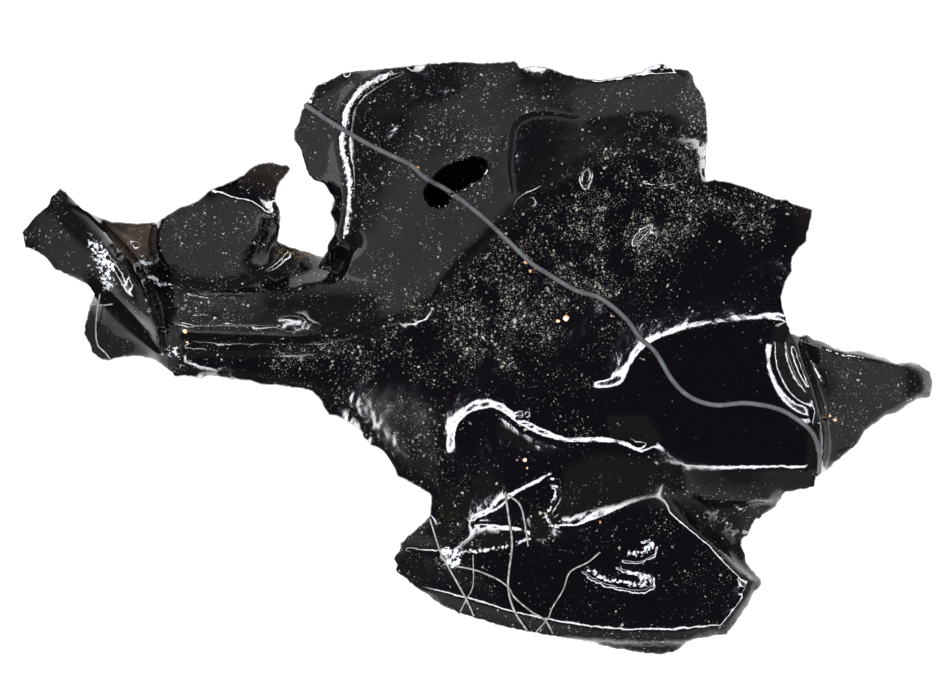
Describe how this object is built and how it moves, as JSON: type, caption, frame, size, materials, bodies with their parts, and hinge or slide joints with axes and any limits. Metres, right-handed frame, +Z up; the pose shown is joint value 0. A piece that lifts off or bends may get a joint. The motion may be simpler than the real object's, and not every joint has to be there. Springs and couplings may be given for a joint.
{
  "type": "obsidian chunk",
  "caption": "Small sharp-edged fragment of black volcanic glass with conchoidal faces, thin translucent rims and a flat face to rest on; a natural specimen or debris piece",
  "frame": {"origin": "centre of the bounding box on the plane of the resting face", "axes": "+X along the longest extent towards the pointed spike, +Y across, +Z up from the resting face through the shortest extent"},
  "size_m": [0.0152, 0.01, 0.0041],
  "materials": {
    "volcanic_glass": "glossy natural fracture, near-black, opaque in the thick and smoky clear at thin rims"
  },
  "bodies": {
    "root": {"obsidian_chunk": "volcanic_glass"}
  },
  "joints": []
}
